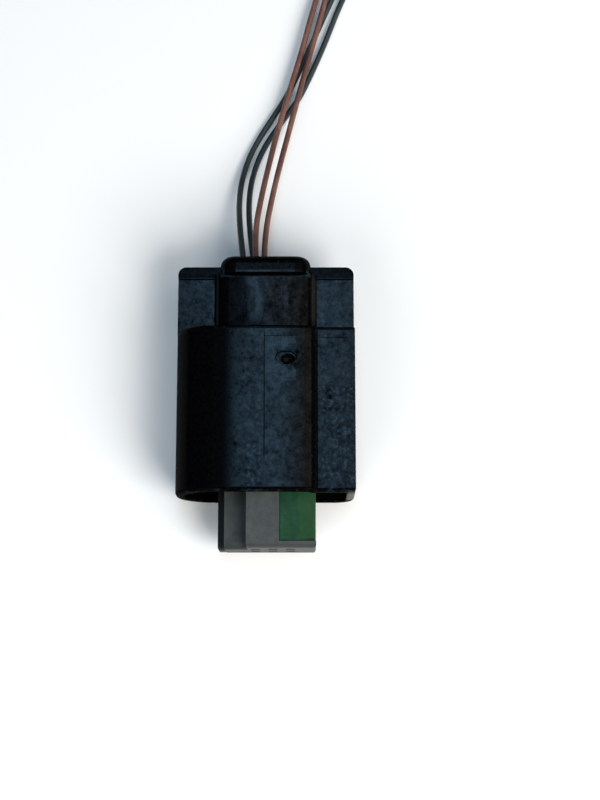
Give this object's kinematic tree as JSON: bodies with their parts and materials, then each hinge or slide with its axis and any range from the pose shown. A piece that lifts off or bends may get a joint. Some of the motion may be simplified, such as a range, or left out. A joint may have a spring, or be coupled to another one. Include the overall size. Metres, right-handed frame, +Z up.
{
  "type": "wire harness connector",
  "caption": "Sealed automotive-style plug connector: black shroud with a rear flange and wire outlet, grey terminal carrier, green secondary lock and a cut wire pigtail.",
  "frame": {"origin": "centre of the underside of the connector's own box, on the surface it lies on, wires left out", "axes": "+X across to the side with the flat panel, +Y from the mating end to the wire end, +Z up out of the crowned front"},
  "size_m": [0.0506, 0.1693, 0.021],
  "materials": {
    "housing_plastic": "fine-grained satin black moulding, scuffed",
    "carrier_plastic": "smooth mid-grey moulding",
    "lock_plastic": "smooth green moulding",
    "cap_plastic": "satin black moulding",
    "silicone": "soft oiled silicone",
    "plug_silicone": "soft natural silicone",
    "tinned_copper": "tin-plated copper alloy",
    "spring_steel": "bright rolled steel",
    "dark_insulation": "satin dark grey-green insulation",
    "brown_insulation": "satin brown insulation"
  },
  "bodies": {
    "connector": {"outer_housing": "housing_plastic", "terminal_carrier": "carrier_plastic", "interface_seal": "silicone", "rear_cap": "cap_plastic", "wire_seal_1": "silicone", "terminal_1": "tinned_copper", "terminal_spring_1": "spring_steel", "wire_1": "dark_insulation", "wire_seal_2": "silicone", "terminal_2": "tinned_copper", "terminal_spring_2": "spring_steel", "wire_2": "dark_insulation", "wire_seal_3": "silicone", "terminal_3": "tinned_copper", "terminal_spring_3": "spring_steel", "wire_3": "brown_insulation", "wire_seal_4": "silicone", "terminal_4": "tinned_copper", "terminal_spring_4": "spring_steel", "wire_4": "brown_insulation", "cavity_plug_1": "plug_silicone", "cavity_plug_2": "plug_silicone"},
    "lock": {"secondary_lock": "lock_plastic"}
  },
  "joints": [
    {"name": "lock_slide", "type": "slide", "parent": "connector", "child": "lock", "axis": [1, 0, 0], "range_m": [0, 0.002]}
  ]
}
